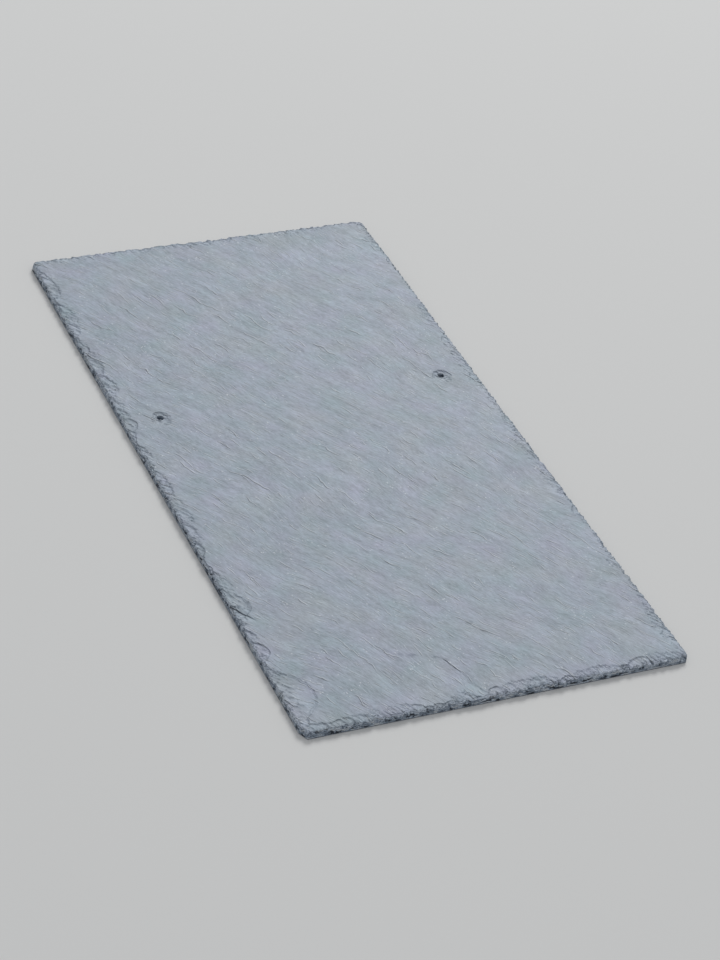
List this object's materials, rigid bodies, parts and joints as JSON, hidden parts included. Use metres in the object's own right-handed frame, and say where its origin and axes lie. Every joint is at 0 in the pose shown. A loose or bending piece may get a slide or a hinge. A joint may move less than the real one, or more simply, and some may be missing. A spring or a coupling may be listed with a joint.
{
  "type": "slate roof tile",
  "caption": "Flat rectangular natural roofing slate with knapped edges and a pair of nail holes above mid-length.",
  "frame": {"origin": "middle of the flat bed, the face that lies on the roof", "axes": "+Y up the roof from the tail to the head, +X across the slate, +Z out of the weather face"},
  "size_m": [0.25, 0.5, 0.005],
  "materials": {
    "slate": "matte"
  },
  "bodies": {
    "root": {"slate": "slate"}
  },
  "joints": []
}
